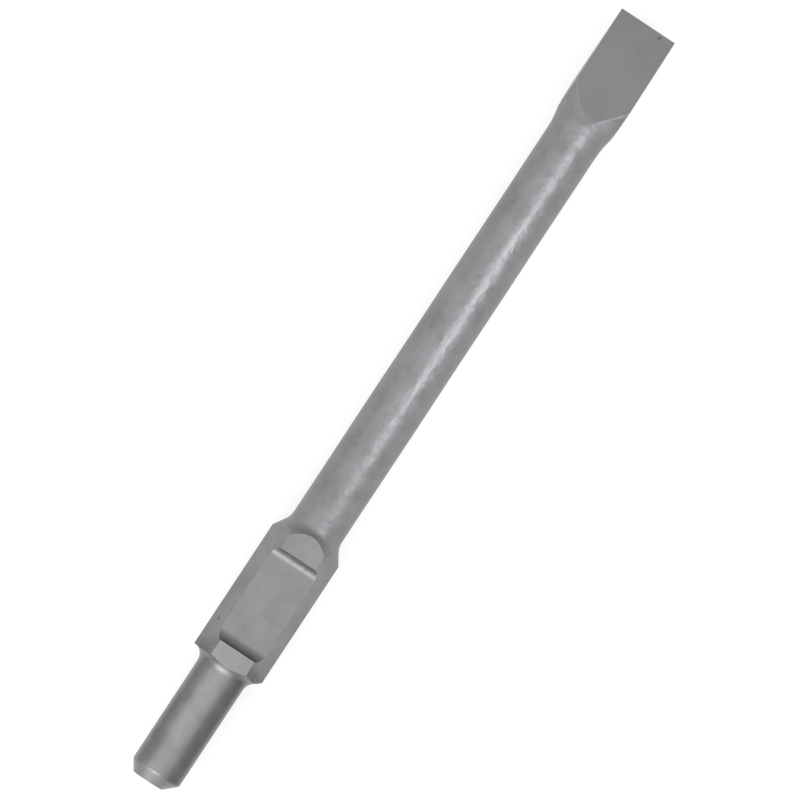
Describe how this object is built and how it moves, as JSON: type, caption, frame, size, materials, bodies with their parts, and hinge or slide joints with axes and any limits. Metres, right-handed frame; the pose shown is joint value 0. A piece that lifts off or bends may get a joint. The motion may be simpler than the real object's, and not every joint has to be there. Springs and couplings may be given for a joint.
{
  "type": "hex-shank flat chisel",
  "caption": "Forged steel flat chisel for a demolition hammer, with a round striking end, a hexagonal shank with a retaining notch, a round bar and a straight-edged wedge blade.",
  "frame": {"origin": "centre of the striking face, on the axis of the tool", "axes": "+X along the axis towards the cutting edge, +Y across the flats of the blade along the cutting edge, +Z out of the flat that has the retaining notch"},
  "size_m": [0.395, 0.0344, 0.0291],
  "materials": {
    "forged_steel": "satin silver-grey, fine-grained as forged and shot-blasted"
  },
  "bodies": {
    "root": {"chisel": "forged_steel"}
  },
  "joints": []
}
